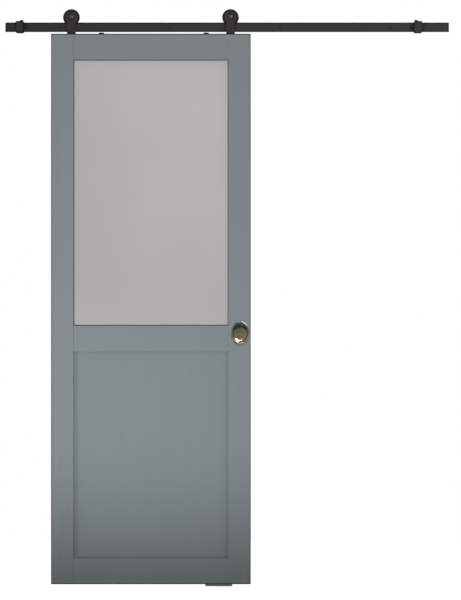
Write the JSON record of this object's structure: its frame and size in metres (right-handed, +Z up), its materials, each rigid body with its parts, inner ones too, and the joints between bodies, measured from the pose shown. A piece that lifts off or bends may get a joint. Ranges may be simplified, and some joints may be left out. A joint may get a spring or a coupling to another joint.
{
  "type": "sliding barn door",
  "caption": "Half-glazed sliding barn door hung by top-mounted grooved rollers on a flat-bar rail, with end stops, flush pulls and a floor guide.",
  "frame": {"origin": "on the wall face, at the middle of the rail's length and height", "axes": "+X along the rail to the right, +Y into the wall, +Z up"},
  "size_m": [1.646, 0.1047, 2.1653],
  "materials": {
    "dark_bronze": "dark bronze powder coat, fine texture, satin",
    "buffer_rubber": "moulded black rubber, matt",
    "gasket_rubber": "dark grey glazing seal, matt",
    "zinc_plate": "zinc plated, satin",
    "guide_aluminium": "mill finish, satin",
    "bearing_steel": "ground bearing steel, polished",
    "leaf_paint": "blue-grey paint on timber, eggshell",
    "frosted_glass": "acid-etched warm grey glass, satin",
    "antique_brass": "aged brass, lacquered and polished"
  },
  "bodies": {
    "rail_assembly": {"rail": "dark_bronze", "rail_spacer_1": "dark_bronze", "rail_spacer_2": "dark_bronze", "rail_spacer_3": "dark_bronze", "rail_spacer_4": "dark_bronze", "lag_screw_1": "dark_bronze", "lag_screw_2": "dark_bronze", "lag_screw_3": "dark_bronze", "lag_screw_4": "dark_bronze", "left_stop_body": "dark_bronze", "right_stop_body": "dark_bronze", "left_stop_clamp_screw": "dark_bronze", "right_stop_clamp_screw": "dark_bronze", "left_stop_buffer": "buffer_rubber", "right_stop_buffer": "buffer_rubber", "floor_guide_screw_1": "zinc_plate", "floor_guide_screw_2": "zinc_plate", "floor_guide": "guide_aluminium"},
    "door": {"left_hanger_strap": "dark_bronze", "right_hanger_strap": "dark_bronze", "left_axle_screw": "dark_bronze", "right_axle_screw": "dark_bronze", "left_foot_screw_1": "dark_bronze", "left_foot_screw_2": "dark_bronze", "right_foot_screw_1": "dark_bronze", "right_foot_screw_2": "dark_bronze", "left_anti_jump_disc": "dark_bronze", "right_anti_jump_disc": "dark_bronze", "left_anti_jump_screw": "dark_bronze", "right_anti_jump_screw": "dark_bronze", "glazing_gasket": "gasket_rubber", "left_axle_spacer": "zinc_plate", "right_axle_spacer": "zinc_plate", "left_lock_nut": "zinc_plate", "right_lock_nut": "zinc_plate", "left_bearing_inner_race": "bearing_steel", "right_bearing_inner_race": "bearing_steel", "left_stile": "leaf_paint", "right_stile": "leaf_paint", "top_rail": "leaf_paint", "mid_rail": "leaf_paint", "bottom_rail": "leaf_paint", "lower_panel": "leaf_paint", "glazing_bead_bottom": "leaf_paint", "glazing_bead_top": "leaf_paint", "glazing_bead_left": "leaf_paint", "glazing_bead_right": "leaf_paint", "glass_pane": "frosted_glass", "front_flush_pull": "antique_brass", "rear_flush_pull": "antique_brass"},
    "left_roller": {"left_wheel": "dark_bronze", "left_bearing_outer_race": "bearing_steel"},
    "right_roller": {"right_wheel": "dark_bronze", "right_bearing_outer_race": "bearing_steel"},
    "left_balls": {"left_ball_cage": "bearing_steel"},
    "right_balls": {"right_ball_cage": "bearing_steel"}
  },
  "joints": [
    {"name": "door_slide", "type": "slide", "parent": "rail_assembly", "child": "door", "axis": [1, 0, 0], "range_m": [-0.1492, 0.6532]},
    {"name": "left_wheel_spin", "type": "hinge", "parent": "door", "child": "left_roller", "pos_m": [-0.5775, -0.032, 0.0358], "axis": [0, 1, 0], "continuous": true},
    {"name": "left_cage_spin", "type": "hinge", "parent": "door", "child": "left_balls", "pos_m": [-0.5775, -0.032, 0.0358], "axis": [0, 1, 0], "continuous": true},
    {"name": "right_wheel_spin", "type": "hinge", "parent": "door", "child": "right_roller", "pos_m": [0.0125, -0.032, 0.0358], "axis": [0, 1, 0], "continuous": true},
    {"name": "right_cage_spin", "type": "hinge", "parent": "door", "child": "right_balls", "pos_m": [0.0125, -0.032, 0.0358], "axis": [0, 1, 0], "continuous": true}
  ],
  "couplings": [
    {"joint": "left_wheel_spin", "follows": "door_slide", "rad_per_m": 55.556},
    {"joint": "left_cage_spin", "follows": "door_slide", "rad_per_m": 34.278},
    {"joint": "right_wheel_spin", "follows": "door_slide", "rad_per_m": 55.556},
    {"joint": "right_cage_spin", "follows": "door_slide", "rad_per_m": 34.278}
  ]
}
